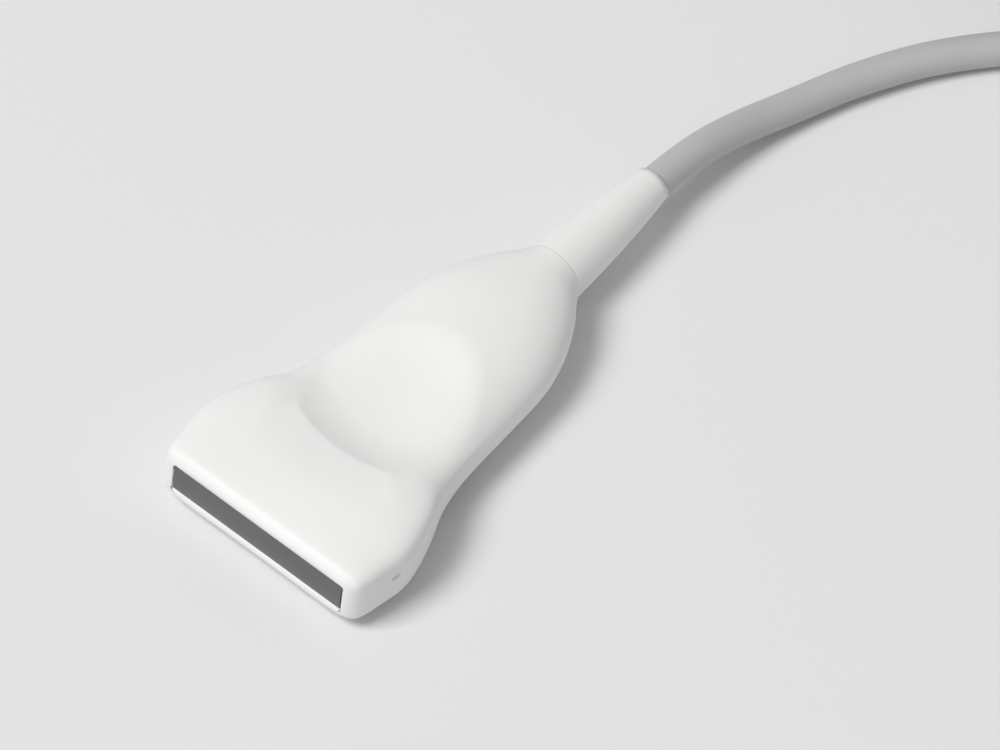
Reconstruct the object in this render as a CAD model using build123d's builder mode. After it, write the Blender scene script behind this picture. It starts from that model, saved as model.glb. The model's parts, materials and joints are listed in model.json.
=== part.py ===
"""Linear ultrasound probe with its cable and its latching plug, lying on a flat surface.

Millimetres. +Y runs from the lens to the cable, +X across the lens, +Z up.
The origin is under the middle of the probe, on the surface that it lies on.
"""

import math
import os

from build123d import *

# Probe overall
probe_length = 120.7
housing_length = 90.0
belly_depth = 9.0
nose_round = 2.0
overrun = 1.0

# Outline of the housing along its length, from the lens to the neck.
# Each row: place, half width, height above the axis, depth below it, and how square
# the section is above and below.
housing_shares = [
    (0.000, 0.879, 0.656, 0.667, 6.5, 7.0),
    (0.033, 0.930, 0.722, 0.733, 6.0, 7.0),
    (0.089, 0.962, 0.800, 0.811, 5.5, 6.5),
    (0.156, 0.998, 0.870, 0.867, 5.0, 6.0),
    (0.222, 0.955, 0.933, 0.889, 4.4, 5.5),
    (0.289, 0.868, 0.973, 0.900, 3.8, 5.0),
    (0.356, 0.760, 0.989, 0.911, 3.4, 4.6),
    (0.433, 0.704, 0.986, 0.933, 3.2, 4.2),
    (0.533, 0.680, 0.978, 0.975, 2.9, 3.8),
    (0.644, 0.662, 0.967, 0.996, 2.6, 3.5),
    (0.756, 0.628, 0.944, 0.996, 2.4, 3.2),
    (0.844, 0.541, 0.900, 0.965, 2.3, 2.9),
    (0.922, 0.415, 0.828, 0.878, 2.2, 2.6),
    (0.978, 0.285, 0.767, 0.778, 2.1, 2.3),
    (1.000, 0.250, 0.756, 0.756, 2.0, 2.0),
]

# Thumb scoops above and below the waist
scoop_floor = 4.9
scoop_dish_radius = 55.0
scoop_arc_radius = 33.0
scoop_arc_centre_share = 0.644
scoop_wall_run = 3.5
scoop_foot_run = 4.0
scoop_foot_rise = 0.8
scoop_margin = 0.4
# Each row: place along the housing, floor height over the lowest floor height.
scoop_floor_shares = [
    (0.200, 1.00),
    (0.320, 1.00),
    (0.420, 1.12),
    (0.520, 1.44),
    (0.610, 1.84),
    (0.700, 2.24),
]

# Walls and seams
housing_wall = 1.7
nose_wall = 2.0
# Each row: place along the housing, share of the height inside the wall that the hollow
# takes, and how square the hollow is.
cavity_shares = [
    (0.000, 1.00, 9.0),
    (0.089, 1.00, 8.0),
    (0.156, 0.90, 6.0),
    (0.200, 0.70, 5.0),
    (0.244, 0.50, 4.5),
    (0.289, 1.00, 4.0),
    (0.356, 1.00, 3.6),
    (0.433, 1.00, 3.4),
    (0.533, 0.94, 3.1),
    (0.610, 0.96, 2.8),
    (0.700, 1.00, 2.6),
    (0.780, 1.00, 2.5),
    (0.850, 1.00, 2.4),
    (0.920, 1.00, 2.3),
]

# Window and lens
window_margin = 2.0
window_height = 7.15
nose_side = 5.8
window_chamfer = 0.35
lens_recess = 0.3
lens_crown = 0.45
lens_flange = 1.0
lens_flange_lip = 0.45
lens_fit = 0.05

# Acoustic stack behind the lens
array_length = 39.0
array_elevation = 6.4
outer_layer = 0.4
inner_layer = 0.5
crystal_thickness = 0.8
element_groups = 32
saw_cut = 0.25
saw_depth = 0.5
backing_depth = 5.2
backing_taper = 0.8
carrier_wall = 1.6
carrier_depth = 8.2
carrier_height = 8.4
heat_plate = 1.0
heat_tail = 9.0
flex_gap = 0.05
flex_margin = 1.6

# Flexible circuits, boards and shields
flex_thickness = 0.2
board_width = 25.0
board_thickness = 1.2
board_start_share = 0.239
board_length_share = 0.378
board_connector_width = 19.0
board_connector_length = 5.0
board_connector_height = 1.3
shield_thickness = 0.3
shield_start_share = 0.65
shield_length_share = 0.178
shield_width = 21.0
shield_height = 7.0
bundle_height = 1.5
bundle_width = 19.0

# Locating bosses between the shells
boss_radius = 2.1
pin_radius = 1.0
pin_length = 2.2
pin_clearance = 0.05
boss_places_shares = [(0.80, 0.195), (0.83, 0.66)]

# Guide dimples on the narrow sides of the head
dimple_length = 2.4
dimple_width = 1.5
dimple_depth = 0.6
dimple_y = 10.8
dimple_rise = 1.4

# Strain relief
cable_diameter = 7.0
relief_root_radius = 6.8
relief_tip_wall = 0.35
relief_waist_share = 0.52
relief_waist_radius = 5.65
spigot_radius = 4.8
flange_radius = 5.6
flange_length = 1.6
flange_gap = 0.05
groove_wall = 1.3
cable_seat = 8.0
trunk_radius = 2.6
clamp_width = 5.0
clamp_wall = 0.9
clamp_setback = 1.0

# Coil of the cable
coil_centre = (17.0, 262.0)
coil_columns = 3
coil_layers = 3
coil_mean_radius = 34.5
coil_round = 3.0

# Plug lying on the coil
plug_length = 58.0
plug_width = 44.0
plug_height = 24.0
plug_wall = 1.8
plug_round = 4.0
plug_edge = 1.5
plug_entry_offset = 12.8
plug_from_coil = (-23.0, 5.0)
plug_relief_length = 15.0
plug_relief_radius = 5.6
plug_boot_wall = 0.5
plug_neck_radius = 4.2
plug_flange_radius = 5.2
plug_cable_seat = 6.0
shroud_length = 9.0
shroud_wall = 1.2
shroud_round = 2.4
shroud_inset = 3.4
shroud_lip = 1.4
shroud_flange = 1.6
gasket_width = 1.2
gasket_length = 1.4
contact_block_setback = 6.0
contact_block_gap = 2.0
contact_pitch = 2.0
contact_columns = 6
contact_rows = 5
contact_size = 0.7
contact_tail = 2.0
contact_field_offset = 9.2
plug_board_thickness = 1.6
lock_shaft_radius = 2.4
lock_running_gap = 0.05
lock_bush_wall = 1.2
lock_collar = 1.2
bush_radius = 3.6
bush_tail = 3.0
latch_bar_length = 11.0
latch_bar_width = 3.4
latch_bar_height = 2.2
latch_setback = 1.2
knob_radius = 6.6
knob_depth = 9.0
knob_gap = 0.4
knob_grip_width = 4.0
knob_grip_share = 0.55
knob_chamfer = 0.8
screw_radius = 1.1
screw_head_radius = 2.0
screw_head_height = 1.2
screw_length = 15.0
screw_offset = 7.0
screw_rear_setback = 14.0
screw_front_setback = 13.5
screw_post_radius = 3.0
screw_head_recess = 1.6

# Route of the cable from the strain relief to the coil, chosen by hand
lead_route = [
    (0.0, 112.7, 9.0),
    (0.0, 128.5, 9.0),
    (1.6, 143.5, 6.3),
    (5.0, 157.5, 3.6),
    (9.9, 172.0, 3.6),
    (18.2, 188.6, 3.6),
    (32.6, 206.2, 3.6),
    (49.6, 221.6, 3.6),
    (58.3, 240.0, 3.6),
    (58.6, 260.0, 3.6),
]

# Route of the cable from the coil up into the plug, chosen by hand
tail_route = [
    (56.8, 259.0, 17.2),
    (58.7, 277.0, 17.4),
    (58.4, 308.0, 20.0),
    (36.4, 332.4, 24.0),
    (4.0, 332.5, 28.5),
    (-18.8, 309.7, 33.0),
    (-18.8, 276.0, 33.0),
]

half_length = probe_length / 2
window_width = array_length + 2 * window_margin
head_width = window_width + 2 * nose_side
half_head = head_width / 2
board_start = board_start_share * housing_length
board_length = board_length_share * housing_length
shield_start = shield_start_share * housing_length
shield_length = shield_length_share * housing_length
axis_height = belly_depth
cable_radius = cable_diameter / 2
corner_share = 0.45
os.makedirs("parts", exist_ok=True)


def finish(piece, name):
    """Names a finished piece and writes it to its own file."""
    piece.part.label = name
    export_step(piece.part, f"parts/{name}.step")


def across(y):
    """The plane across the probe at a distance from the lens face, centred on the axis."""
    return Plane(origin=(0, y - half_length, axis_height), x_dir=(1, 0, 0), z_dir=(0, -1, 0))


def flat(rise=0.0):
    """The plane along the probe at a height over the axis, with its origin at the lens face."""
    return Plane(origin=(0, -half_length, axis_height + rise), x_dir=(1, 0, 0), z_dir=(0, 0, 1))


def blended(rows, place, column):
    """A value between the rows of a table, by straight lines."""
    for low, high in zip(rows[:-1], rows[1:]):
        if place <= high[0]:
            share = (place - low[0]) / (high[0] - low[0])
            return low[column] + share * (high[column] - low[column])
    return rows[-1][column]


def oval(half_width, above, below, crown, squareness):
    """Points of a rounded, crowned section that may be deeper below its axis than above it."""
    points = []
    steps = 32
    for step in range(steps):
        angle = 2 * math.pi * step / steps
        c, s = math.cos(angle), math.sin(angle)
        height, power = (above, 2 / crown) if s > 0 else (below, 2 / squareness)
        x = half_width * math.copysign(abs(c) ** power, c)
        z = height * math.copysign(abs(s) ** power, s)
        points.append((x, z))
    return points


def section(y, half_width, above, below, crown, squareness):
    """One section across the probe as a face."""
    with BuildSketch(across(y)) as sketch:
        with BuildLine():
            Spline(*oval(half_width, above, below, crown, squareness), periodic=True)
        make_face()
    return sketch.sketch


def housing_half_width(share):
    return half_head * blended(housing_shares, share, 1)


def housing_form():
    """The outer form of the housing, solid, with its rounded nose."""
    with BuildPart() as form:
        for place, wide, above, below, crown, square in housing_shares:
            add(
                section(
                    place * housing_length,
                    wide * half_head,
                    above * belly_depth,
                    below * belly_depth,
                    crown,
                    square,
                )
            )
        loft()
        rim = form.faces().sort_by(Axis.Y)[0].edges()
        fillet(rim, radius=nose_round)
    return form.part


def scoop_dish():
    """What lies over the dished floor of a thumb scoop."""
    lip = belly_depth + overrun
    reach = scoop_arc_radius
    rise = scoop_dish_radius - math.sqrt(scoop_dish_radius**2 - reach**2)
    with BuildPart() as dish:
        for place, floor in scoop_floor_shares:
            low = floor * scoop_floor
            high = low + rise
            top = 2 * lip + rise
            with BuildSketch(across(place * housing_length)):
                with BuildLine():
                    ThreePointArc((-reach, high), (0, low), (reach, high))
                    Polyline((reach, high), (reach, top), (-reach, top), (-reach, high))
                make_face()
        loft()
    return dish.part


def scoop_cutter():
    """The two scoops: round in plan towards the lens, with a sloped wall and a soft foot."""
    reach = scoop_arc_radius
    centre = scoop_arc_centre_share * housing_length
    plane = Plane(
        origin=(0, centre - half_length, axis_height), x_dir=(1, 0, 0), z_dir=(0, -1, 0)
    )
    lip = belly_depth + overrun
    foot = scoop_floor + scoop_foot_rise
    wall_rise = lip - foot
    with BuildPart() as region:
        with BuildSketch(plane) as half:
            with BuildLine():
                Line((0, 0), (reach - scoop_wall_run - scoop_foot_run, 0))
                Line(
                    (reach - scoop_wall_run - scoop_foot_run, 0),
                    (reach - scoop_wall_run - scoop_foot_run, scoop_floor - scoop_margin),
                )
                TangentArc(
                    (reach - scoop_wall_run - scoop_foot_run, scoop_floor - scoop_margin),
                    (reach - scoop_wall_run, foot),
                    tangent=(1, 0),
                )
                Line((reach - scoop_wall_run, foot), (reach - scoop_wall_run + wall_rise, lip))
                Line((reach - scoop_wall_run + wall_rise, lip), (0, lip))
                Line((0, lip), (0, 0))
            make_face()
        revolve(axis=Axis(plane.origin, (0, 0, 1)), revolution_arc=360)
        split(bisect_by=Plane.XZ.offset(half_length - centre), keep=Keep.TOP)
        add(scoop_dish(), mode=Mode.INTERSECT)
        mirror(about=Plane.XY.offset(axis_height))
    return region.part


def clear_height(place, column):
    """The height of the hollow over or under the axis, inside the wall and the scoop."""
    height = blended(housing_shares, place, column) * belly_depth
    if place > scoop_arc_centre_share - scoop_arc_radius / housing_length:
        height = min(height, scoop_floor * blended(scoop_floor_shares, place, 1))
    return height - housing_wall


def cavity_form():
    """The hollow inside the housing, lower under the scoops."""
    with BuildPart() as hollow:
        for place, clear, square in cavity_shares:
            place = max(place, nose_wall / housing_length)
            wide = housing_half_width(place) - housing_wall
            above = clear * clear_height(place, 2)
            below = clear * clear_height(place, 3)
            add(section(place * housing_length, wide, above, below, square, square))
        loft()
    return hollow.part


def window_hole():
    """The lens window through the nose, chamfered at the front."""
    with BuildPart() as hole:
        with BuildSketch(across(-overrun)):
            Rectangle(window_width, window_height)
        extrude(amount=-(nose_wall + 2 * overrun))
        with BuildSketch(across(-window_chamfer)):
            Rectangle(window_width + 4 * window_chamfer, window_height + 4 * window_chamfer)
        with BuildSketch(across(window_chamfer)):
            Rectangle(window_width, window_height)
        loft()
    return hole.part


def neck_bore():
    """The bore of the neck, with the groove that holds the flange of the strain relief."""
    start = cavity_shares[-1][0] * housing_length - overrun
    with BuildPart() as bore:
        with BuildSketch(across(start)):
            Circle(trunk_radius + clamp_wall + pin_clearance)
        extrude(amount=-(housing_length + overrun - start))
        with BuildSketch(across(flange_start - flange_gap)):
            Circle(flange_radius + flange_gap)
        extrude(amount=-(flange_length + 2 * flange_gap))
        with BuildSketch(across(flange_start)):
            Circle(spigot_radius)
        extrude(amount=-(housing_length + overrun - flange_start))
    return bore.part


def boss_places():
    """The four places of the bosses that locate the two shells."""
    places = []
    for wide, along in boss_places_shares:
        y = along * housing_length
        x = wide * (housing_half_width(along) - housing_wall)
        places += [(-x, y), (x, y)]
    return places


flange_start = housing_length - groove_wall - flange_length

# Housing
outer = housing_form()
cutter = scoop_cutter()
cavity = cavity_form()
opening = window_hole()
bore = neck_bore()

with BuildPart() as bosses:
    with BuildSketch(flat(-belly_depth)):
        with Locations(*boss_places()):
            Circle(boss_radius)
    extrude(amount=2 * belly_depth)
    add(cavity, mode=Mode.INTERSECT)

with BuildPart() as housing:
    add(outer)
    add(cutter, mode=Mode.SUBTRACT)
    add(cavity, mode=Mode.SUBTRACT)
    add(bosses.part)
    add(opening, mode=Mode.SUBTRACT)
    add(bore, mode=Mode.SUBTRACT)
    for side in (-1, 1):
        side_x = side * housing_half_width(dimple_y / housing_length)
        with BuildSketch(
            Plane(
                origin=(side_x, dimple_y - half_length, axis_height + dimple_rise),
                x_dir=(0, 1, 0),
                z_dir=(side, 0, 0),
            )
        ):
            Ellipse(dimple_length / 2, dimple_width / 2)
        extrude(amount=dimple_depth, both=True, taper=0, mode=Mode.SUBTRACT)

with BuildPart() as upper_shell:
    add(housing.part)
    split(bisect_by=Plane.XY.offset(axis_height), keep=Keep.TOP)
    with BuildSketch(flat()):
        with Locations(*boss_places()):
            Circle(pin_radius + pin_clearance)
    extrude(amount=pin_length + pin_clearance, mode=Mode.SUBTRACT)
finish(upper_shell, "upper_shell")

with BuildPart() as lower_shell:
    add(housing.part)
    split(bisect_by=Plane.XY.offset(axis_height), keep=Keep.BOTTOM)
    with BuildSketch(flat()):
        with Locations(*boss_places()):
            Circle(pin_radius)
    extrude(amount=pin_length)
finish(lower_shell, "lower_shell")

# Acoustic stack
lens_back = nose_wall + lens_flange
outer_layer_start = lens_back
inner_layer_start = outer_layer_start + outer_layer
crystal_start = inner_layer_start + inner_layer
backing_start = crystal_start + crystal_thickness
heat_start = backing_start + backing_depth
flex_rise = array_elevation / 2 + flex_gap + flex_thickness / 2
flex_channel = flex_rise + flex_thickness / 2 + flex_gap


def slab(name, start, width, height, thickness):
    """A plain plate across the probe, centred on the axis."""
    with BuildPart() as plate:
        with BuildSketch(across(start)):
            Rectangle(width, height)
        extrude(amount=-thickness)
    finish(plate, name)


def side_plane(x=0.0):
    """The plane along the probe seen from its side, with its origin at the lens face."""
    return Plane(origin=(x, -half_length, axis_height), x_dir=(0, 1, 0), z_dir=(1, 0, 0))


with BuildPart() as acoustic_lens:
    lens_half = window_height / 2 - lens_fit
    lens_length = window_width - 2 * lens_fit
    with BuildSketch(side_plane(-lens_length / 2)):
        with BuildLine():
            Line((nose_wall, -lens_half), (lens_recess, -lens_half))
            ThreePointArc(
                (lens_recess, -lens_half), (lens_recess - lens_crown, 0), (lens_recess, lens_half)
            )
            Line((lens_recess, lens_half), (nose_wall, lens_half))
            Line((nose_wall, lens_half), (nose_wall, -lens_half))
        make_face()
    extrude(amount=lens_length)
    with BuildSketch(across(nose_wall)):
        Rectangle(window_width + 2 * lens_flange_lip, window_height + 2 * lens_flange_lip)
    extrude(amount=-lens_flange)
finish(acoustic_lens, "acoustic_lens")

slab("outer_matching_layer", outer_layer_start, array_length, array_elevation, outer_layer)
slab("inner_matching_layer", inner_layer_start, array_length, array_elevation, inner_layer)

with BuildPart() as crystal_array:
    with BuildSketch(across(crystal_start)):
        Rectangle(array_length, array_elevation)
    extrude(amount=-crystal_thickness)
    with BuildSketch(across(crystal_start)):
        with GridLocations(array_length / element_groups, 0, element_groups - 1, 1):
            Rectangle(saw_cut, array_elevation)
    extrude(amount=-saw_depth, mode=Mode.SUBTRACT)
finish(crystal_array, "crystal_array")

with BuildPart() as backing_block:
    with BuildSketch(across(backing_start)):
        Rectangle(array_length, array_elevation)
    with BuildSketch(across(heat_start)):
        Rectangle(array_length - 2 * backing_taper, array_elevation - 2 * backing_taper)
    loft()
finish(backing_block, "backing_block")

with BuildPart() as array_carrier:
    with BuildSketch(across(lens_back)):
        RectangleRounded(array_length + 2 * carrier_wall, carrier_height, carrier_wall)
        Rectangle(array_length + 2 * flex_gap, 2 * flex_channel, mode=Mode.SUBTRACT)
    extrude(amount=-carrier_depth)
finish(array_carrier, "array_carrier")

with BuildPart() as heat_spreader:
    with BuildSketch(across(heat_start)):
        Rectangle(array_length, array_elevation - 2 * backing_taper)
    extrude(amount=-heat_plate)
    with BuildSketch(across(heat_start + heat_plate)):
        Rectangle(array_length - 4 * carrier_wall, heat_plate)
    extrude(amount=-heat_tail)
finish(heat_spreader, "heat_spreader")

# Flexible circuits, terminal board and shielding
flex_landing = board_thickness / 2 + flex_thickness / 2
flex_width = board_width - 2 * flex_margin
board_end = board_start + board_length
connector_gap = board_connector_length / 2 + flex_margin

for name, side in (("upper_flex", 1), ("lower_flex", -1)):
    with BuildPart() as flex:
        with BuildSketch(side_plane(-flex_width / 2)):
            with BuildLine():
                Polyline(
                    (crystal_start, side * flex_rise),
                    (lens_back + carrier_depth + flex_margin, side * flex_rise),
                    (board_start, side * flex_landing),
                    (board_start + flex_margin, side * flex_landing),
                )
            trace(line_width=flex_thickness)
        extrude(amount=flex_width)
    finish(flex, name)

with BuildPart() as terminal_board:
    with BuildSketch(flat(-board_thickness / 2)):
        with Locations((0, board_start + board_length / 2)):
            RectangleRounded(board_width, board_length, flex_margin)
    extrude(amount=board_thickness)
finish(terminal_board, "terminal_board")

connector_places = [
    (0, board_start + 2 * flex_margin + board_connector_length / 2),
    (0, board_end - connector_gap),
]
with BuildPart() as board_connectors:
    with BuildSketch(flat(board_thickness / 2)):
        with Locations(*connector_places):
            Rectangle(board_connector_width, board_connector_length)
    extrude(amount=board_connector_height)
    with BuildSketch(flat(-board_thickness / 2)):
        with Locations(*connector_places):
            Rectangle(board_connector_width, board_connector_length)
    extrude(amount=-board_connector_height)
finish(board_connectors, "board_connectors")

trunk_start = flange_start - clamp_setback - clamp_width - clamp_setback
bundle_start = board_end + flex_margin
bundle_rise = board_thickness / 2 + bundle_height / 2
for name, side in (("upper_coax_bundle", 1), ("lower_coax_bundle", -1)):
    with BuildPart() as bundle:
        with BuildSketch(across(bundle_start)):
            with Locations((0, side * bundle_rise)):
                RectangleRounded(bundle_width, bundle_height, bundle_height * corner_share)
        with BuildSketch(across(trunk_start)):
            with Locations((0, side * trunk_radius / 2)):
                RectangleRounded(trunk_radius, trunk_radius * 0.95, trunk_radius * corner_share)
        loft()
    finish(bundle, name)

with BuildPart() as inner_shield:
    with BuildSketch(across(shield_start)):
        RectangleRounded(shield_width, shield_height, flex_margin)
        RectangleRounded(
            shield_width - 2 * shield_thickness,
            shield_height - 2 * shield_thickness,
            flex_margin - shield_thickness,
            mode=Mode.SUBTRACT,
        )
    extrude(amount=-shield_length)
finish(inner_shield, "inner_shield")

with BuildPart() as coax_trunk:
    with BuildSketch(across(trunk_start)):
        Circle(trunk_radius)
    extrude(amount=-(flange_start - trunk_start))
finish(coax_trunk, "coax_trunk")

with BuildPart() as braid_clamp:
    with BuildSketch(across(flange_start - clamp_setback - clamp_width)):
        Circle(trunk_radius + clamp_wall)
        Circle(trunk_radius + pin_clearance, mode=Mode.SUBTRACT)
    extrude(amount=-clamp_width)
finish(braid_clamp, "braid_clamp")

# Strain relief, moulded onto the cable
relief_axis = Axis((0, 0, axis_height), (0, 1, 0))
with BuildPart() as strain_relief:
    waist = housing_length + relief_waist_share * (probe_length - housing_length)
    tip = cable_radius + relief_tip_wall
    with BuildSketch(side_plane()):
        with BuildLine():
            Line((flange_start, 0), (flange_start, flange_radius))
            Line((flange_start, flange_radius), (flange_start + flange_length, flange_radius))
            Line(
                (flange_start + flange_length, flange_radius),
                (flange_start + flange_length, spigot_radius - pin_clearance),
            )
            Line(
                (flange_start + flange_length, spigot_radius - pin_clearance),
                (housing_length, spigot_radius - pin_clearance),
            )
            Line(
                (housing_length, spigot_radius - pin_clearance),
                (housing_length, relief_root_radius),
            )
            ThreePointArc(
                (housing_length, relief_root_radius),
                (waist, relief_waist_radius),
                (probe_length, tip),
            )
            Line((probe_length, tip), (probe_length, cable_radius))
            Line((probe_length, cable_radius), (probe_length - cable_seat, cable_radius))
            Line((probe_length - cable_seat, cable_radius), (probe_length - cable_seat, 0))
            Line((probe_length - cable_seat, 0), (flange_start, 0))
        make_face()
    revolve(axis=relief_axis)
finish(strain_relief, "strain_relief")


def corner_radii(points):
    """The radius of each corner of a route: as large as its two runs allow."""
    radii = []
    for before, corner, after in zip(points[:-2], points[1:-1], points[2:]):
        arriving = corner - before
        leaving = after - corner
        half_turn = math.radians(arriving.get_angle(leaving)) / 2
        shorter = min(arriving.length, leaving.length)
        radii.append(corner_share * shorter / math.tan(half_turn))
    return radii


def cable(route, name):
    """A round cable along a route of straight runs joined by tangent arcs."""
    points = [Vector(x, y - half_length, z) for x, y, z in route]
    radii = corner_radii(points)
    print(name, "corner radii", [round(radius, 1) for radius in radii])
    with BuildPart() as tube:
        with BuildLine() as path:
            FilletPolyline(*points, radius=radii)
        with BuildSketch(Plane(origin=path.line @ 0, z_dir=path.line % 0)):
            Circle(cable_radius)
        sweep(path=path.wires()[0])
    length = path.wires()[0].length
    full = math.pi * cable_radius**2 * length
    print(name, "length", round(length, 1), "volume share", round(tube.part.volume / full, 5))
    return tube.part


# Coil and the two free stretches of the cable
coil_width = coil_columns * cable_diameter
coil_height = coil_layers * cable_diameter
coil_x, coil_y = coil_centre[0], coil_centre[1] - half_length

with BuildPart() as cable_coil:
    with BuildSketch(Plane(origin=(coil_x, coil_y, 0), x_dir=(1, 0, 0), z_dir=(0, -1, 0))):
        with Locations((coil_mean_radius, coil_height / 2)):
            RectangleRounded(coil_width, coil_height, coil_round)
    revolve(axis=Axis((coil_x, coil_y, 0), (0, 0, 1)))
finish(cable_coil, "cable_coil")

with BuildPart() as cable_lead:
    add(cable(lead_route, "cable_lead"))
    add(cable_coil.part, mode=Mode.SUBTRACT)
finish(cable_lead, "cable_lead")

with BuildPart() as cable_tail:
    add(cable(tail_route, "cable_tail"))
    add(cable_coil.part, mode=Mode.SUBTRACT)
finish(cable_tail, "cable_tail")

# Plug, lying on the coil with its cable towards +Y and its contacts towards -Y
plug_x = coil_x + plug_from_coil[0]
plug_rear = coil_y + plug_from_coil[1]
plug_front = plug_rear - plug_length
plug_middle = coil_height + plug_height / 2
shroud_front = plug_front - shroud_length
shroud_width = plug_width - 2 * shroud_inset
shroud_height = plug_height - 2 * shroud_inset


def plug_plane(y):
    """The plane across the plug at a place along it, centred on its lock shaft."""
    return Plane(origin=(plug_x, y, plug_middle), x_dir=(1, 0, 0), z_dir=(0, -1, 0))


def plug_flat(z):
    """The plane along the plug at a height, with its origin at the middle of its rear face."""
    return Plane(origin=(plug_x, plug_rear, z), x_dir=(1, 0, 0), z_dir=(0, 0, 1))


block_front = shroud_front + contact_block_setback
block_back = plug_front + plug_wall + shroud_flange
board_front = block_back + contact_tail
screw_places = [
    (side * screw_offset, place)
    for side in (-1, 1)
    for place in (-screw_rear_setback, screw_front_setback - plug_length)
]

with BuildPart() as plug_case:
    with BuildSketch(plug_flat(coil_height)):
        with Locations((0, -plug_length / 2)):
            RectangleRounded(plug_width, plug_length, plug_round)
    extrude(amount=plug_height)
    rims = plug_case.faces().filter_by(Axis.Z).edges()
    fillet(rims, radius=plug_edge)
    with BuildSketch(plug_flat(coil_height + plug_wall)):
        with Locations((0, -plug_length / 2)):
            Rectangle(plug_width - 2 * plug_wall, plug_length - 2 * plug_wall)
    extrude(amount=plug_height - 2 * plug_wall, mode=Mode.SUBTRACT)
    with BuildSketch(plug_flat(coil_height)):
        with Locations(*screw_places):
            Circle(screw_post_radius)
    extrude(amount=plug_height - plug_wall)
    with BuildSketch(plug_plane(plug_front - overrun)):
        Rectangle(shroud_width + 2 * lens_fit, shroud_height + 2 * lens_fit)
    extrude(amount=-(plug_wall + 2 * overrun), mode=Mode.SUBTRACT)
    with BuildSketch(plug_plane(plug_rear + overrun)):
        Circle(bush_radius)
        with Locations((-plug_entry_offset, 0)):
            Circle(plug_neck_radius)
    extrude(amount=plug_wall + 2 * overrun, mode=Mode.SUBTRACT)
    with BuildSketch(plug_flat(coil_height)):
        with Locations(*screw_places):
            Circle(screw_radius + pin_clearance)
    extrude(amount=screw_head_height + screw_length + overrun, mode=Mode.SUBTRACT)
    with BuildSketch(plug_flat(coil_height)):
        with Locations(*screw_places):
            Circle(screw_head_radius + pin_clearance)
    extrude(amount=screw_head_recess, mode=Mode.SUBTRACT)

for name, kept in (("plug_upper_shell", Keep.TOP), ("plug_lower_shell", Keep.BOTTOM)):
    with BuildPart() as plug_shell:
        add(plug_case.part)
        split(bisect_by=Plane.XY.offset(plug_middle), keep=kept)
    finish(plug_shell, name)

with BuildPart() as plug_screws:
    with BuildSketch(plug_flat(coil_height + screw_head_recess - screw_head_height)):
        with Locations(*screw_places):
            Circle(screw_head_radius)
    extrude(amount=screw_head_height)
    with BuildSketch(plug_flat(coil_height + screw_head_recess)):
        with Locations(*screw_places):
            Circle(screw_radius)
    extrude(amount=screw_length)
finish(plug_screws, "plug_screws")

with BuildPart() as contact_shroud:
    with BuildSketch(plug_plane(shroud_front)):
        RectangleRounded(shroud_width, shroud_height, shroud_round)
        RectangleRounded(
            shroud_width - 2 * shroud_wall,
            shroud_height - 2 * shroud_wall,
            shroud_round - shroud_wall,
            mode=Mode.SUBTRACT,
        )
    extrude(amount=-(shroud_length + plug_wall))
    with BuildSketch(plug_plane(plug_front + plug_wall)):
        Rectangle(shroud_width + 2 * shroud_lip, shroud_height + 2 * shroud_lip)
        Rectangle(
            shroud_width - 2 * shroud_wall, shroud_height - 2 * shroud_wall, mode=Mode.SUBTRACT
        )
    extrude(amount=-shroud_flange)
finish(contact_shroud, "contact_shroud")

with BuildPart() as shield_gasket:
    with BuildSketch(plug_plane(plug_front)):
        RectangleRounded(
            shroud_width + 2 * gasket_width, shroud_height + 2 * gasket_width, shroud_round
        )
        Rectangle(shroud_width + 2 * lens_fit, shroud_height + 2 * lens_fit, mode=Mode.SUBTRACT)
    extrude(amount=gasket_length)
finish(shield_gasket, "shield_gasket")

with BuildPart() as contact_block:
    with BuildSketch(plug_plane(block_front)):
        RectangleRounded(
            shroud_width - 2 * shroud_wall - 2 * contact_block_gap,
            shroud_height - 2 * shroud_wall - 2 * contact_block_gap,
            shroud_round - shroud_wall,
        )
    extrude(amount=-(block_back - block_front))
    with BuildSketch(plug_plane(plug_front)):
        RectangleRounded(
            shroud_width - 2 * shroud_wall - 2 * lens_fit,
            shroud_height - 2 * shroud_wall - 2 * lens_fit,
            shroud_round - shroud_wall,
        )
    extrude(amount=-(plug_wall + shroud_flange))
    with BuildSketch(plug_plane(block_front - overrun)):
        Circle(lock_shaft_radius + lock_running_gap)
    extrude(amount=-(block_back - block_front + 2 * overrun), mode=Mode.SUBTRACT)
finish(contact_block, "contact_block")


def contact_field(plane, depth, length, name):
    """The two fields of contacts beside the lock shaft, on one face of the block."""
    with BuildPart() as field:
        with BuildSketch(plane):
            with Locations((-contact_field_offset, 0), (contact_field_offset, 0)):
                with GridLocations(contact_pitch, contact_pitch, contact_columns, contact_rows):
                    Rectangle(depth, depth)
        extrude(amount=length)
    finish(field, name)


contact_field(plug_plane(block_front), contact_size * 2, contact_size / 2, "contact_pads")
contact_field(plug_plane(board_front), contact_size, contact_tail, "contact_tails")

with BuildPart() as plug_board:
    with BuildSketch(plug_plane(board_front)):
        Rectangle(
            shroud_width - 2 * shroud_wall - 2 * contact_block_gap,
            shroud_height - 2 * shroud_wall,
        )
        Circle(lock_shaft_radius + lock_bush_wall, mode=Mode.SUBTRACT)
    extrude(amount=-plug_board_thickness)
finish(plug_board, "plug_board")

# Lock: bush, shaft, latch bar and knob
shaft_front = shroud_front + latch_setback
knob_start = plug_rear + lock_collar + knob_gap

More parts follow.
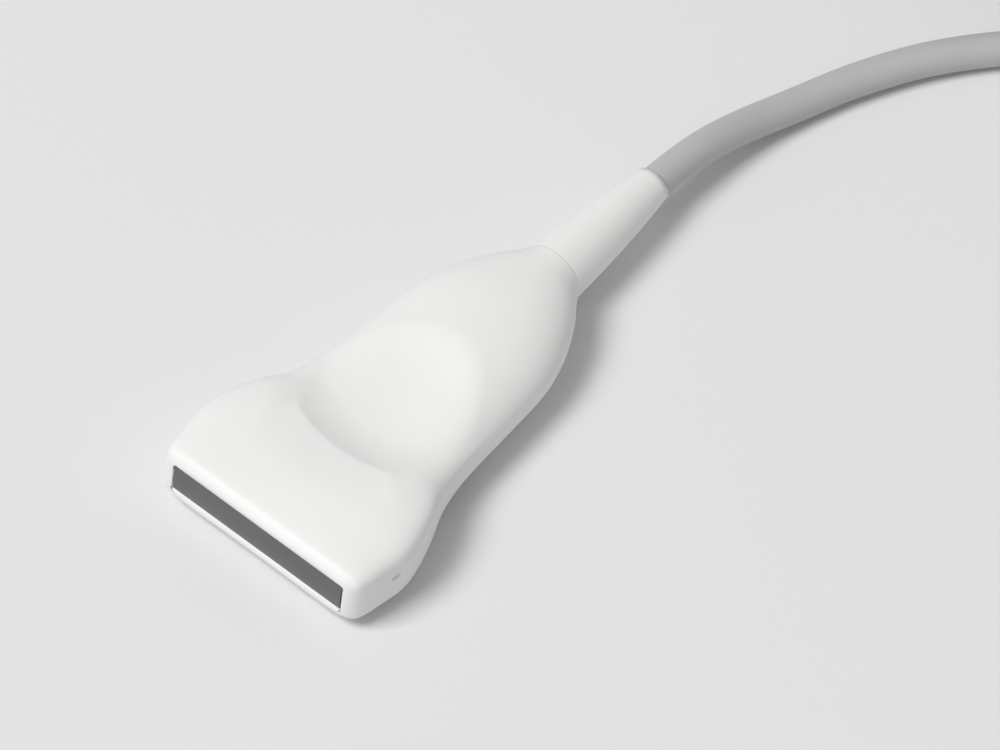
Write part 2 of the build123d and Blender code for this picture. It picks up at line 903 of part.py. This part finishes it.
with BuildPart() as lock_bush:
    with BuildSketch(plug_plane(plug_rear - plug_wall - bush_tail)):
        Circle(bush_radius)
    extrude(amount=-(plug_wall + bush_tail))
    with BuildSketch(plug_plane(plug_rear)):
        Circle(bush_radius + lock_bush_wall)
    extrude(amount=-lock_collar)
    with BuildSketch(plug_plane(plug_rear - plug_wall - bush_tail)):
        Circle(lock_shaft_radius + lock_running_gap)
    extrude(amount=-(plug_wall + bush_tail + lock_collar), mode=Mode.SUBTRACT)
finish(lock_bush, "lock_bush")

with BuildPart() as lock_shaft:
    with BuildSketch(plug_plane(shaft_front + latch_bar_height)):
        Circle(lock_shaft_radius)
    extrude(amount=-(knob_start - shaft_front - latch_bar_height))
finish(lock_shaft, "lock_shaft")

with BuildPart() as latch_bar:
    with BuildSketch(plug_plane(shaft_front)):
        SlotOverall(latch_bar_length, latch_bar_width)
        Circle(lock_shaft_radius)
    extrude(amount=-latch_bar_height)
finish(latch_bar, "latch_bar")

with BuildPart() as lock_knob:
    with BuildSketch(plug_plane(knob_start)):
        Circle(knob_radius)
    extrude(amount=-knob_depth)
    outer_rim = lock_knob.edges().filter_by(GeomType.CIRCLE).sort_by(Axis.Y)[-1]
    chamfer(outer_rim, length=knob_chamfer)
    grip = knob_depth * knob_grip_share
    with BuildSketch(plug_plane(knob_start + knob_depth - grip)):
        with Locations((0, knob_radius), (0, -knob_radius)):
            Rectangle(2 * knob_radius, 2 * knob_radius - knob_grip_width)
    extrude(amount=-(grip + overrun), mode=Mode.SUBTRACT)
finish(lock_knob, "lock_knob")

# Cable entry of the plug
entry_x = plug_x - plug_entry_offset
entry_axis = Axis((entry_x, 0, plug_middle), (0, 1, 0))
entry_flange_start = plug_rear - plug_wall - flange_length
with BuildPart() as plug_strain_relief:
    with BuildSketch(
        Plane(origin=(entry_x, 0, plug_middle), x_dir=(0, 1, 0), z_dir=(1, 0, 0))
    ):
        with BuildLine():
            Polyline(
                (entry_flange_start, 0),
                (entry_flange_start, plug_flange_radius),
                (plug_rear - plug_wall, plug_flange_radius),
                (plug_rear - plug_wall, plug_neck_radius - pin_clearance),
                (plug_rear, plug_neck_radius - pin_clearance),
                (plug_rear, plug_relief_radius),
                (plug_rear + plug_relief_length, cable_radius + plug_boot_wall),
                (plug_rear + plug_relief_length, cable_radius),
                (plug_rear + plug_relief_length - plug_cable_seat, cable_radius),
                (plug_rear + plug_relief_length - plug_cable_seat, 0),
                close=True,
            )
        make_face()
    revolve(axis=entry_axis)
finish(plug_strain_relief, "plug_strain_relief")

bundle_back = board_front + plug_board_thickness
with BuildPart() as plug_coax_bundle:
    with BuildSketch(plug_plane(bundle_back)):
        with Locations((-plug_entry_offset, 0)):
            Circle(trunk_radius)
    extrude(amount=-(entry_flange_start - bundle_back))
finish(plug_coax_bundle, "plug_coax_bundle")

with BuildPart() as plug_braid_clamp:
    with BuildSketch(plug_plane(entry_flange_start - clamp_setback - clamp_width)):
        with Locations((-plug_entry_offset, 0)):
            Circle(trunk_radius + clamp_wall)
            Circle(trunk_radius + pin_clearance, mode=Mode.SUBTRACT)
    extrude(amount=-clamp_width)
finish(plug_braid_clamp, "plug_braid_clamp")
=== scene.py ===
"""Looks of the linear ultrasound probe: its housing, strain relief, cable and plug, and the studio.

Metres, in the frame of the CAD model. +Y runs from the lens to the cable, +Z is up.
"""

import json
import math

import bmesh
import bpy
from mathutils import Matrix, Vector


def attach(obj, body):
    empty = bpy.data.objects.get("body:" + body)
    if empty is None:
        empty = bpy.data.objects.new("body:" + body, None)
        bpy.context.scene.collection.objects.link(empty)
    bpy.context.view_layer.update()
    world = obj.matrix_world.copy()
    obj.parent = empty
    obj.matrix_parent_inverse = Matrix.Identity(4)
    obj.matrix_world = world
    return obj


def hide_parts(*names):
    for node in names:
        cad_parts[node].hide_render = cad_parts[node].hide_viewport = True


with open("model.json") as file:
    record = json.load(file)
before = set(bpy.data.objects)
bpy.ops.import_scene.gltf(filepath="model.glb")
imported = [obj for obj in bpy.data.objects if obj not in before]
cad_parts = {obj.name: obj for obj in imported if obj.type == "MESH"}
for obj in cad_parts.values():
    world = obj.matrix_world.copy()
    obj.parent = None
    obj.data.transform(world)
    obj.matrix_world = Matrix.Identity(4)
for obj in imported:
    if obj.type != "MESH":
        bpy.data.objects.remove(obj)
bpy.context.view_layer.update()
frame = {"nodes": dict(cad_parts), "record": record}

MM = 0.001

# Sizes shared with the CAD source
half_length = 60.35 * MM
housing_length = 90.0 * MM
half_head = 27.3 * MM
belly_depth = 9.0 * MM
axis_height = 9.0 * MM
nose_round = 2.0 * MM
cable_diameter = 7.0 * MM

# Camera
camera_azimuth = 34.0
camera_elevation = 52.5
camera_roll = 7.8
camera_distance = 6.0
camera_nearest = 0.1
camera_farthest = 40.0
picture_width = 196.0 * MM
sensor_width = 36.0
camera_aim = Vector((8.3, 3.7, 8.2)) * MM

# Route of the cable from the strain relief to the coil, and from the coil to the plug
lead_route = [
    (0.0, 0.1127, 0.009),
    (0.0, 0.1285, 0.009),
    (0.0016, 0.1435, 0.0063),
    (0.005, 0.1575, 0.0036),
    (0.0099, 0.172, 0.0036),
    (0.0182, 0.1886, 0.0036),
    (0.0326, 0.2062, 0.0036),
    (0.0496, 0.2216, 0.0036),
    (0.0583, 0.240, 0.0036),
]
tail_route = [
    (0.0587, 0.277, 0.0174),
    (0.0584, 0.308, 0.020),
    (0.0364, 0.3324, 0.024),
    (0.004, 0.3325, 0.0285),
    (-0.0188, 0.3097, 0.033),
    (-0.0188, 0.276, 0.033),
]

# Coil: the radius and the height of each turn, and the angle at which one goes over to the next
coil_centre = (0.017, 0.262)
coil_rings = [
    (0.0415, 0.0036),
    (0.0345, 0.0036),
    (0.0275, 0.0036),
    (0.0275, 0.0105),
    (0.0345, 0.0105),
    (0.0415, 0.0105),
    (0.0345, 0.0174),
    (0.0415, 0.0174),
]
coil_points_per_turn = 16
coil_change_angle = 225.0
cable_round_steps = 8
cable_route_steps = 10

# Outline of the housing: place along it, half width, height above and below the axis, and
# how square the section is above and below
housing_shares = [
    (0.000, 0.879, 0.645, 0.667, 6.0, 6.5),
    (0.033, 0.925, 0.742, 0.733, 5.2, 6.2),
    (0.089, 0.955, 0.832, 0.811, 4.6, 5.6),
    (0.156, 0.980, 0.900, 0.860, 4.4, 4.8),
    (0.222, 0.940, 0.932, 0.880, 4.3, 4.2),
    (0.289, 0.862, 0.958, 0.890, 3.9, 3.8),
    (0.356, 0.772, 0.958, 0.905, 2.6, 3.2),
    (0.433, 0.717, 0.966, 0.925, 2.15, 2.9),
    (0.533, 0.690, 0.984, 0.965, 2.05, 2.7),
    (0.644, 0.666, 1.000, 0.996, 2.12, 2.65),
    (0.756, 0.630, 1.014, 0.996, 2.25, 2.7),
    (0.844, 0.548, 0.982, 0.965, 2.2, 2.65),
    (0.922, 0.420, 0.878, 0.878, 2.1, 2.4),
    (0.978, 0.288, 0.782, 0.778, 2.0, 2.2),
    (1.000, 0.250, 0.756, 0.756, 2.0, 2.0),
]
housing_ring_points = 360
housing_ring_gap = 0.42 * MM
outline_steps_per_point = 2
nose_rings = 10

# Thumb scoops: a dished floor that ends at the front in a wall along an arc, with a shallow
# bevel before the wall
scoop_floor = 4.9 * MM
scoop_dish_radius = 90.0 * MM
scoop_arc_centre = 0.598 * housing_length
scoop_arc_radius = 30.8 * MM
scoop_edge_height = 7.5 * MM
scoop_wall_slope = 0.60
scoop_bevel_slope = 0.165
scoop_bevel_softness = 1.8 * MM
scoop_foot_softness = 3.7 * MM
scoop_edge_softness = 0.25 * MM
scoop_side_softness = 4.0 * MM

# Past this reach from the middle the bevel lifts and the wall's edge fades
scoop_edge_reach = 12.0 * MM
scoop_bevel_lift = 60.0
scoop_edge_fade = 0.8

# Floor of the scoops: place along the housing, share of the floor's height, and share of the
# softness with which it meets the outer form
scoop_floor_shares = [
    (0.200, 1.00, 1.00),
    (0.320, 1.00, 1.00),
    (0.420, 1.02, 1.00),
    (0.500, 1.16, 0.75),
    (0.560, 1.35, 0.50),
    (0.620, 1.64, 0.30),
    (0.680, 2.02, 0.25),
    (0.780, 2.70, 0.25),
]

# Window, guide dimples and neck
window_half_width = 21.5 * MM
window_half_height = 3.575 * MM
window_chamfer = 0.35 * MM
window_depth = 1.2 * MM
window_squareness = 70.0
dimple_place = 10.8 * MM
dimple_rise = 1.4 * MM
dimple_half_length = 1.2 * MM
dimple_half_width = 0.65 * MM
dimple_depth = 0.85 * MM
dimple_rings = 8
neck_overlap = 1.2 * MM
neck_rings = 4

# Strain relief
relief_root_radius = 6.8 * MM
relief_waist_radius = 5.65 * MM
relief_tip_radius = 3.85 * MM
relief_waist_share = 0.52
relief_end_inset = 0.2 * MM
relief_rings = 24
relief_steps = 128

# Closest that two points of a finished mesh may stand
merge_distance = 0.00001

# Grain and mottle of a plain finish, and what all finishes share
grain_scale = 2000.0
grain_depth = 0.00001
grain_detail = 3.0
grain_strength = 0.5
mottle_tone = 0.96
mottle_scale = 150.0
mottle_low = 0.35
mottle_high = 0.65

# Finishes: slot, colour, roughness, metallic, and where they aren't plain the scale and depth
# of the grain, the tone of the darker mottle and the scale of the mottle
finish_rows = [
    ("housing_plastic", (0.86, 0.86, 0.85), 0.55, 0.0, 2600.0, 0.000008, 0.985, 60.0),
    ("lens_silicone", (0.118, 0.118, 0.122), 0.45, 0.0, 3000.0, 0.000006, 0.94, 120.0),
    ("relief_rubber", (0.86, 0.86, 0.85), 0.55, 0.0, 2200.0, 0.00001, 0.98, 80.0),
    ("cable_jacket", (0.49, 0.49, 0.49), 0.5, 0.0, 1800.0, 0.00001, 0.97, 90.0),
    ("plug_plastic", (0.70, 0.70, 0.69), 0.5, 0.0, 1600.0, 0.00002),
    ("matching_resin", (0.10, 0.11, 0.09), 0.6, 0.0),
    ("crystal", (0.42, 0.38, 0.24), 0.5, 0.0),
    ("backing_resin", (0.02, 0.02, 0.022), 0.7, 0.0),
    ("carrier_plastic", (0.02, 0.02, 0.02), 0.5, 0.0),
    ("heat_metal", (0.75, 0.76, 0.77), 0.35, 1.0),
    ("flex_film", (0.36, 0.15, 0.03), 0.35, 0.0),
    ("board_laminate", (0.02, 0.10, 0.04), 0.4, 0.0),
    ("connector_plastic", (0.62, 0.58, 0.46), 0.5, 0.0),
    ("coax_wire", (0.28, 0.16, 0.12), 0.5, 0.0),
    ("shield_metal", (0.62, 0.60, 0.56), 0.4, 1.0),
    ("clamp_metal", (0.56, 0.57, 0.59), 0.35, 1.0),
    ("screw_steel", (0.56, 0.56, 0.58), 0.35, 1.0),
    ("shroud_metal", (0.68, 0.69, 0.70), 0.35, 1.0),
    ("gasket", (0.05, 0.05, 0.055), 0.7, 0.0),
    ("block_plastic", (0.025, 0.025, 0.028), 0.5, 0.0),
    ("contact_gold", (0.80, 0.56, 0.22), 0.3, 1.0),
    ("lock_metal", (0.62, 0.63, 0.64), 0.3, 1.0),
    ("knob_plastic", (0.10, 0.105, 0.11), 0.5, 0.0),
]

# Studio
soft_strength = 0.36
background_strength = 0.9
floor_colour = (0.80, 0.80, 0.80)
floor_roughness = 0.8
floor_reach = 3.0
floor_drop = 0.0001
key_size = 1.8
key_power = 152.0
key_place = Vector((-1.1, -2.35, 3.8))


def linked(name, data):
    """An object in the scene."""
    piece = bpy.data.objects.new(name, data)
    bpy.context.scene.collection.objects.link(piece)
    return piece


def finished(bm, name):
    """A mesh object from a bmesh, smooth, at the origin."""
    bmesh.ops.remove_doubles(bm, verts=bm.verts, dist=merge_distance)
    bmesh.ops.recalc_face_normals(bm, faces=bm.faces)
    mesh = bpy.data.meshes.new(name)
    bm.to_mesh(mesh)
    bm.free()
    mesh.polygons.foreach_set("use_smooth", [True] * len(mesh.polygons))
    return linked(name, mesh)


# Cable


def nurbs_cable(name, points):
    """A round cable whose NURBS spline has these points as its control points."""
    curve = bpy.data.curves.new(name, "CURVE")
    curve.dimensions = "3D"
    curve.bevel_depth = 1.0
    curve.bevel_resolution = cable_round_steps
    curve.resolution_u = cable_route_steps
    curve.use_fill_caps = True
    spline = curve.splines.new("NURBS")
    spline.points.add(len(points) - 1)
    for point, place in zip(spline.points, points):
        point.co = (*place, 1.0)
        point.radius = cable_diameter / 2
    spline.order_u = 3
    spline.use_endpoint_u = True
    spline.use_smooth = True
    return linked(name, curve)


def coil_points():
    """The turns of the coil. Its points stand a little outside, as the curve cuts their corners."""
    step = 360 / coil_points_per_turn
    cut = (3 + math.cos(math.radians(step))) / 4
    points = []
    for index in range((len(coil_rings) - 1) * coil_points_per_turn + 1):
        angle = index * step
        ring = int((angle + 360 - coil_change_angle) // 360)
        radius, height = coil_rings[ring]
        x = coil_centre[0] + radius / cut * math.cos(math.radians(angle))
        y = coil_centre[1] + radius / cut * math.sin(math.radians(angle))
        points.append((x, y, height))
    return points


def make_cable():
    """The whole cable in one curve, from the strain relief over the coil to the plug."""
    route = lead_route + coil_points() + tail_route
    cable = nurbs_cable("cable", [(x, y - half_length, z) for x, y, z in route])
    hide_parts("cable_lead", "cable_coil", "cable_tail")
    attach(cable, "probe")
    return cable


# Housing


def smooth_row(rows, place):
    """The values of a table at a place, on smooth lines through its rows."""
    last = len(rows) - 2
    low = next((k for k in range(last + 1) if place <= rows[k + 1][0]), last)
    start, end = rows[low], rows[low + 1]
    before, after = rows[max(low - 1, 0)], rows[min(low + 2, last + 1)]
    span = end[0] - start[0]
    t = (place - start[0]) / span
    values = []
    for column in range(1, len(rows[0])):
        slope_in = (end[column] - before[column]) / (end[0] - before[0]) * span
        slope_out = (after[column] - start[column]) / (after[0] - start[0]) * span
        values.append(
            (2 * t**3 - 3 * t**2 + 1) * start[column]
            + (t**3 - 2 * t**2 + t) * slope_in
            + (3 * t**2 - 2 * t**3) * end[column]
            + (t**3 - t**2) * slope_out
        )
    return values


def soft_lower(a, b, softness):
    """The lower of two heights, rounded where they meet."""
    blend = max(softness - abs(a - b), 0.0) / softness
    return min(a, b) - blend * blend * softness / 4


def section_ring(half_width, above, below, crown, squareness):
    """Evenly spaced points round one section of the housing."""
    dense = outline_steps_per_point * housing_ring_points
    outline = []
    for step in range(dense + 1):
        angle = 2 * math.pi * step / dense
        c, s = math.cos(angle), math.sin(angle)
        height, power = (above, crown) if s > 0 else (below, squareness)
        reach = (abs(c) ** power + abs(s) ** power) ** (-1 / power)
        outline.append((half_width * c * reach, height * s * reach))
    lengths = [0.0]
    for (x0, z0), (x1, z1) in zip(outline[:-1], outline[1:]):
        lengths.append(lengths[-1] + math.hypot(x1 - x0, z1 - z0))
    points = []
    index = 0
    for step in range(housing_ring_points):
        wanted = lengths[-1] * step / housing_ring_points
        while lengths[index + 1] < wanted:
            index += 1
        share = (wanted - lengths[index]) / (lengths[index + 1] - lengths[index])
        (x0, z0), (x1, z1) = outline[index], outline[index + 1]
        points.append((x0 + share * (x1 - x0), z0 + share * (z1 - z0)))
    return points


def scoop_height(x, y, outer):
    """How high the surface stands off the axis where a thumb scoop takes from the outer form."""
    low, high = scoop_floor_shares[0][0], scoop_floor_shares[-1][0]
    if y > high * housing_length:
        return outer
    rise, blend = smooth_row(scoop_floor_shares, max(y / housing_length, low))
    dish = rise * scoop_floor + x * x / (2 * scoop_dish_radius)
    before_arc = math.hypot(x, min(y - scoop_arc_centre, 0.0)) - scoop_arc_radius
    past = max(abs(x) - scoop_edge_reach, 0.0)
    wall = scoop_edge_height + before_arc * scoop_wall_slope
    bevel = scoop_edge_height + before_arc * scoop_bevel_slope
    bevel += past * past * scoop_bevel_lift
    floor = soft_lower(outer, dish, blend * scoop_side_softness)
    edge = soft_lower(outer, bevel, scoop_bevel_softness)
    edge = soft_lower(edge, wall, scoop_edge_softness + past * scoop_edge_fade)
    return -soft_lower(-floor, -edge, scoop_foot_softness)


def scooped(x, y, z):
    """A point of the outer form, moved down or in where a scoop or a dimple is."""
    if abs(z) > scoop_floor / 2:
        z = math.copysign(scoop_height(x, y, abs(z)), z)
    along = (y - dimple_place) / dimple_half_length
    up = (z - dimple_rise) / dimple_half_width
    hollow = max(1 - along * along - up * up, 0.0)
    if abs(x) > half_head / 2:
        x -= math.copysign(dimple_depth * math.sqrt(hollow), x)
    return x, y, z


def window_ring(depth, wider):
    """A ring of the lens window, so deep in it."""
    half_width = window_half_width + wider
    half_height = window_half_height + wider
    square = window_squareness
    points = section_ring(half_width, half_height, half_height, square, square)
    return [(x, depth, z) for x, z in points]


def outer_ring(y):
    """A ring of the outside of the housing, drawn in at the round of its nose and in its neck."""
    place = min(y / housing_length, 1.0)
    wide, above, below, crown, squareness = smooth_row(housing_shares, place)
    short = max(nose_round - y, 0.0)
    inset = nose_round - math.sqrt(nose_round**2 - short**2) + max(y - housing_length, 0.0)
    points = section_ring(
        wide * half_head - inset,
        above * belly_depth - inset,
        below * belly_depth - inset,
        crown,
        squareness,
    )
    return [scooped(x, y, z) for x, z in points]


def outer_places():
    """Where the rings stand: closer in the nose and at the dimples, and on inside the relief."""
    places = []
    for k in range(nose_rings):
        places.append(nose_round * (1 - math.cos(math.pi / 2 * k / nose_rings)))
    rest = round((housing_length - nose_round) / housing_ring_gap)
    for k in range(rest + 1):
        places.append(nose_round + (housing_length - nose_round) * k / rest)
    for k in range(-dimple_rings, dimple_rings):
        places.append(dimple_place + dimple_half_length * k / dimple_rings)
    for k in range(1, neck_rings + 1):
        places.append(housing_length + neck_overlap * k / neck_rings)
    return sorted(places)


def ordered_ring(edges, previous):
    """The points of a new ring in the order of the ring that it was extruded from."""
    new = {vert for edge in edges for vert in edge.verts}
    for vert in previous:
        beside = [edge.other_vert(vert) for edge in vert.link_edges]
        yield next(other for other in beside if other in new)


def make_housing():
    """The two shells as they look when closed, with the window, the scoops and the dimples."""
    rings = [window_ring(window_depth, 0.0), window_ring(window_chamfer, 0.0)]
    rings.append(window_ring(0.0, window_chamfer))
    rings += [outer_ring(y) for y in outer_places()]
    bm = bmesh.new()
    circle = bmesh.ops.create_circle(bm, segments=housing_ring_points, radius=half_head)
    verts = circle["verts"]
    edges = list(bm.edges)
    for index, ring in enumerate(rings):
        if index:
            grown = bmesh.ops.extrude_edge_only(bm, edges=edges)["geom"]
            edges = [item for item in grown if isinstance(item, bmesh.types.BMEdge)]
            verts = list(ordered_ring(edges, verts))
        for vert, (x, y, z) in zip(verts, ring):
            vert.co = (x, y - half_length, axis_height + z)
    bmesh.ops.holes_fill(bm, edges=[edge for edge in bm.edges if edge.is_boundary])
    housing = finished(bm, "housing")
    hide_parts("upper_shell", "lower_shell")
    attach(housing, "probe")
    return housing


# Strain relief


def turned(name, profile, steps):
    """A piece turned about the probe's axis. The profile is a list of places and radii."""
    bm = bmesh.new()
    verts = [bm.verts.new((radius, place, axis_height)) for place, radius in profile]
    edges = [bm.edges.new(pair) for pair in zip(verts[:-1], verts[1:])]
    bmesh.ops.spin(
        bm,
        geom=verts + edges,
        cent=(0.0, 0.0, axis_height),
        axis=(0.0, 1.0, 0.0),
        angle=math.tau,
        steps=steps,
        use_merge=True,
    )
    return finished(bm, name)


def make_relief():
    """The soft strain relief, waisted, from inside the housing's neck to its tip on the cable."""
    start = housing_length - half_length
    reach = half_length - start
    profile = [(start - neck_overlap, 0.0), (start - neck_overlap, relief_root_radius)]
    profile.append((start, relief_root_radius))
    for step in range(1, relief_rings + 1):
        t = step / relief_rings
        low = (1 - t) * (1 - t / relief_waist_share)
        middle = t * (1 - t) / (relief_waist_share * (1 - relief_waist_share))
        high = t * (t - relief_waist_share) / (1 - relief_waist_share)
        radius = low * relief_root_radius + middle * relief_waist_radius + high * relief_tip_radius
        profile.append((start + t * reach, radius))
    profile += [(half_length, cable_diameter / 2 - relief_end_inset), (half_length, 0.0)]
    relief = turned("relief", profile, relief_steps)
    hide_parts("strain_relief")
    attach(relief, "probe")
    return relief


# Materials


def new_material(name, colour, roughness, metallic=0.0):
    """A material with constants on its shader, and that shader."""
    material = bpy.data.materials.new(name)
    material.use_nodes = True
    shader = material.node_tree.nodes["Principled BSDF"]
    shader.inputs["Base Color"].default_value = (*colour, 1.0)
    shader.inputs["Roughness"].default_value = roughness
    shader.inputs["Metallic"].default_value = metallic
    return material, shader


def add_noise(tree, scale):
    """Noise laid out in the piece's own frame."""
    place = tree.nodes.new("ShaderNodeTexCoord")
    noise = tree.nodes.new("ShaderNodeTexNoise")
    noise.inputs["Scale"].default_value = scale
    tree.links.new(place.outputs["Object"], noise.inputs["Vector"])
    return noise


def add_grain(tree, shader, scale, depth):
    """A fine moulded grain in the surface."""
    noise = add_noise(tree, scale)
    noise.inputs["Detail"].default_value = grain_detail
    bump = tree.nodes.new("ShaderNodeBump")
    bump.inputs["Distance"].default_value = depth
    bump.inputs["Strength"].default_value = grain_strength
    tree.links.new(noise.outputs["Fac"], bump.inputs["Height"])
    tree.links.new(bump.outputs["Normal"], shader.inputs["Normal"])


def add_mottle(tree, shader, colour, tone, scale):
    """A faint change of tone over the surface."""
    noise = add_noise(tree, scale)
    ramp = tree.nodes.new("ShaderNodeValToRGB")
    darker, lighter = ramp.color_ramp.elements
    darker.position = mottle_low
    darker.color = (*[part * tone for part in colour], 1.0)
    lighter.position = mottle_high
    lighter.color = (*colour, 1.0)
    tree.links.new(noise.outputs["Fac"], ramp.inputs["Fac"])
    tree.links.new(ramp.outputs["Color"], shader.inputs["Base Color"])


def make_finish(
    name,
    colour,
    roughness,
    metallic,
    grain=grain_scale,
    depth=grain_depth,
    tone=mottle_tone,
    mottle=mottle_scale,
):
    """The finish of one row of the table, with its grain and mottle."""
    material, shader = new_material(name, colour, roughness, metallic)
    add_grain(material.node_tree, shader, grain, depth)
    add_mottle(material.node_tree, shader, colour, tone, mottle)
    return material


def dress_nodes(finishes):
    """Gives each CAD node the finish of its slot."""
    for row in frame["record"]["subparts"]:
        mesh = frame["nodes"][row["node"]].data
        mesh.materials.clear()
        mesh.materials.append(finishes[row["material_slot"]])


# Studio


def make_key():
    """The soft square lamp, which looks at the origin."""
    lamp = bpy.data.lights.new("key", "AREA")
    lamp.size = key_size
    lamp.energy = key_power
    piece = linked("key", lamp)
    piece.location = key_place
    piece.rotation_mode = "QUATERNION"
    piece.rotation_quaternion = (-key_place).to_track_quat("-Z", "Y")


def make_world():
    """Soft light all round, which the camera and reflections see as a pale background."""
    world = bpy.data.worlds.new("studio")
    world.use_nodes = True
    tree = world.node_tree
    tree.nodes.clear()
    rays = tree.nodes.new("ShaderNodeLightPath")
    either = tree.nodes.new("ShaderNodeMath")
    either.operation = "MAXIMUM"
    mix = tree.nodes.new("ShaderNodeMixShader")
    for index, strength in enumerate((soft_strength, background_strength)):
        light = tree.nodes.new("ShaderNodeBackground")
        light.inputs["Color"].default_value = (1.0, 1.0, 1.0, 1.0)
        light.inputs["Strength"].default_value = strength
        tree.links.new(light.outputs["Background"], mix.inputs[index + 1])
    output = tree.nodes.new("ShaderNodeOutputWorld")
    tree.links.new(rays.outputs["Is Camera Ray"], either.inputs[0])
    tree.links.new(rays.outputs["Is Glossy Ray"], either.inputs[1])
    tree.links.new(either.outputs["Value"], mix.inputs["Fac"])
    tree.links.new(mix.outputs["Shader"], output.inputs["Surface"])
    bpy.context.scene.world = world


def make_floor():
    """The pale floor, a hair under the object."""
    bm = bmesh.new()
    bmesh.ops.create_grid(bm, x_segments=1, y_segments=1, size=floor_reach)
    floor = finished(bm, "floor")
    floor.data.transform(Matrix.Translation((0.0, 0.0, -floor_drop)))
    material, shader = new_material("floor_paper", floor_colour, floor_roughness)
    floor.data.materials.append(material)


def make_camera():
    """The photograph's view, from far away as it shows almost no perspective."""
    data = bpy.data.cameras.new("camera")
    data.sensor_width = sensor_width
    data.lens = sensor_width * camera_distance / picture_width
    data.clip_start = camera_nearest
    data.clip_end = camera_farthest
    camera = linked("camera", data)
    azimuth, elevation = math.radians(camera_azimuth), math.radians(camera_elevation)
    back = Vector((math.sin(azimuth), -math.cos(azimuth), 0.0)) * math.cos(elevation)
    back.z = math.sin(elevation)
    turn = (-back).to_track_quat("-Z", "Y").to_matrix().to_4x4()
    roll = Matrix.Rotation(math.radians(camera_roll), 4, "Z")
    camera.matrix_world = Matrix.Translation(camera_aim + back * camera_distance) @ turn @ roll
    bpy.context.scene.camera = camera


finishes = {row[0]: make_finish(*row) for row in finish_rows}
dress_nodes(finishes)
make_cable().data.materials.append(finishes["cable_jacket"])
make_housing().data.materials.append(finishes["housing_plastic"])
make_relief().data.materials.append(finishes["relief_rubber"])

make_camera()
make_world()
make_floor()
make_key()
bpy.context.scene.view_settings.view_transform = "Standard"
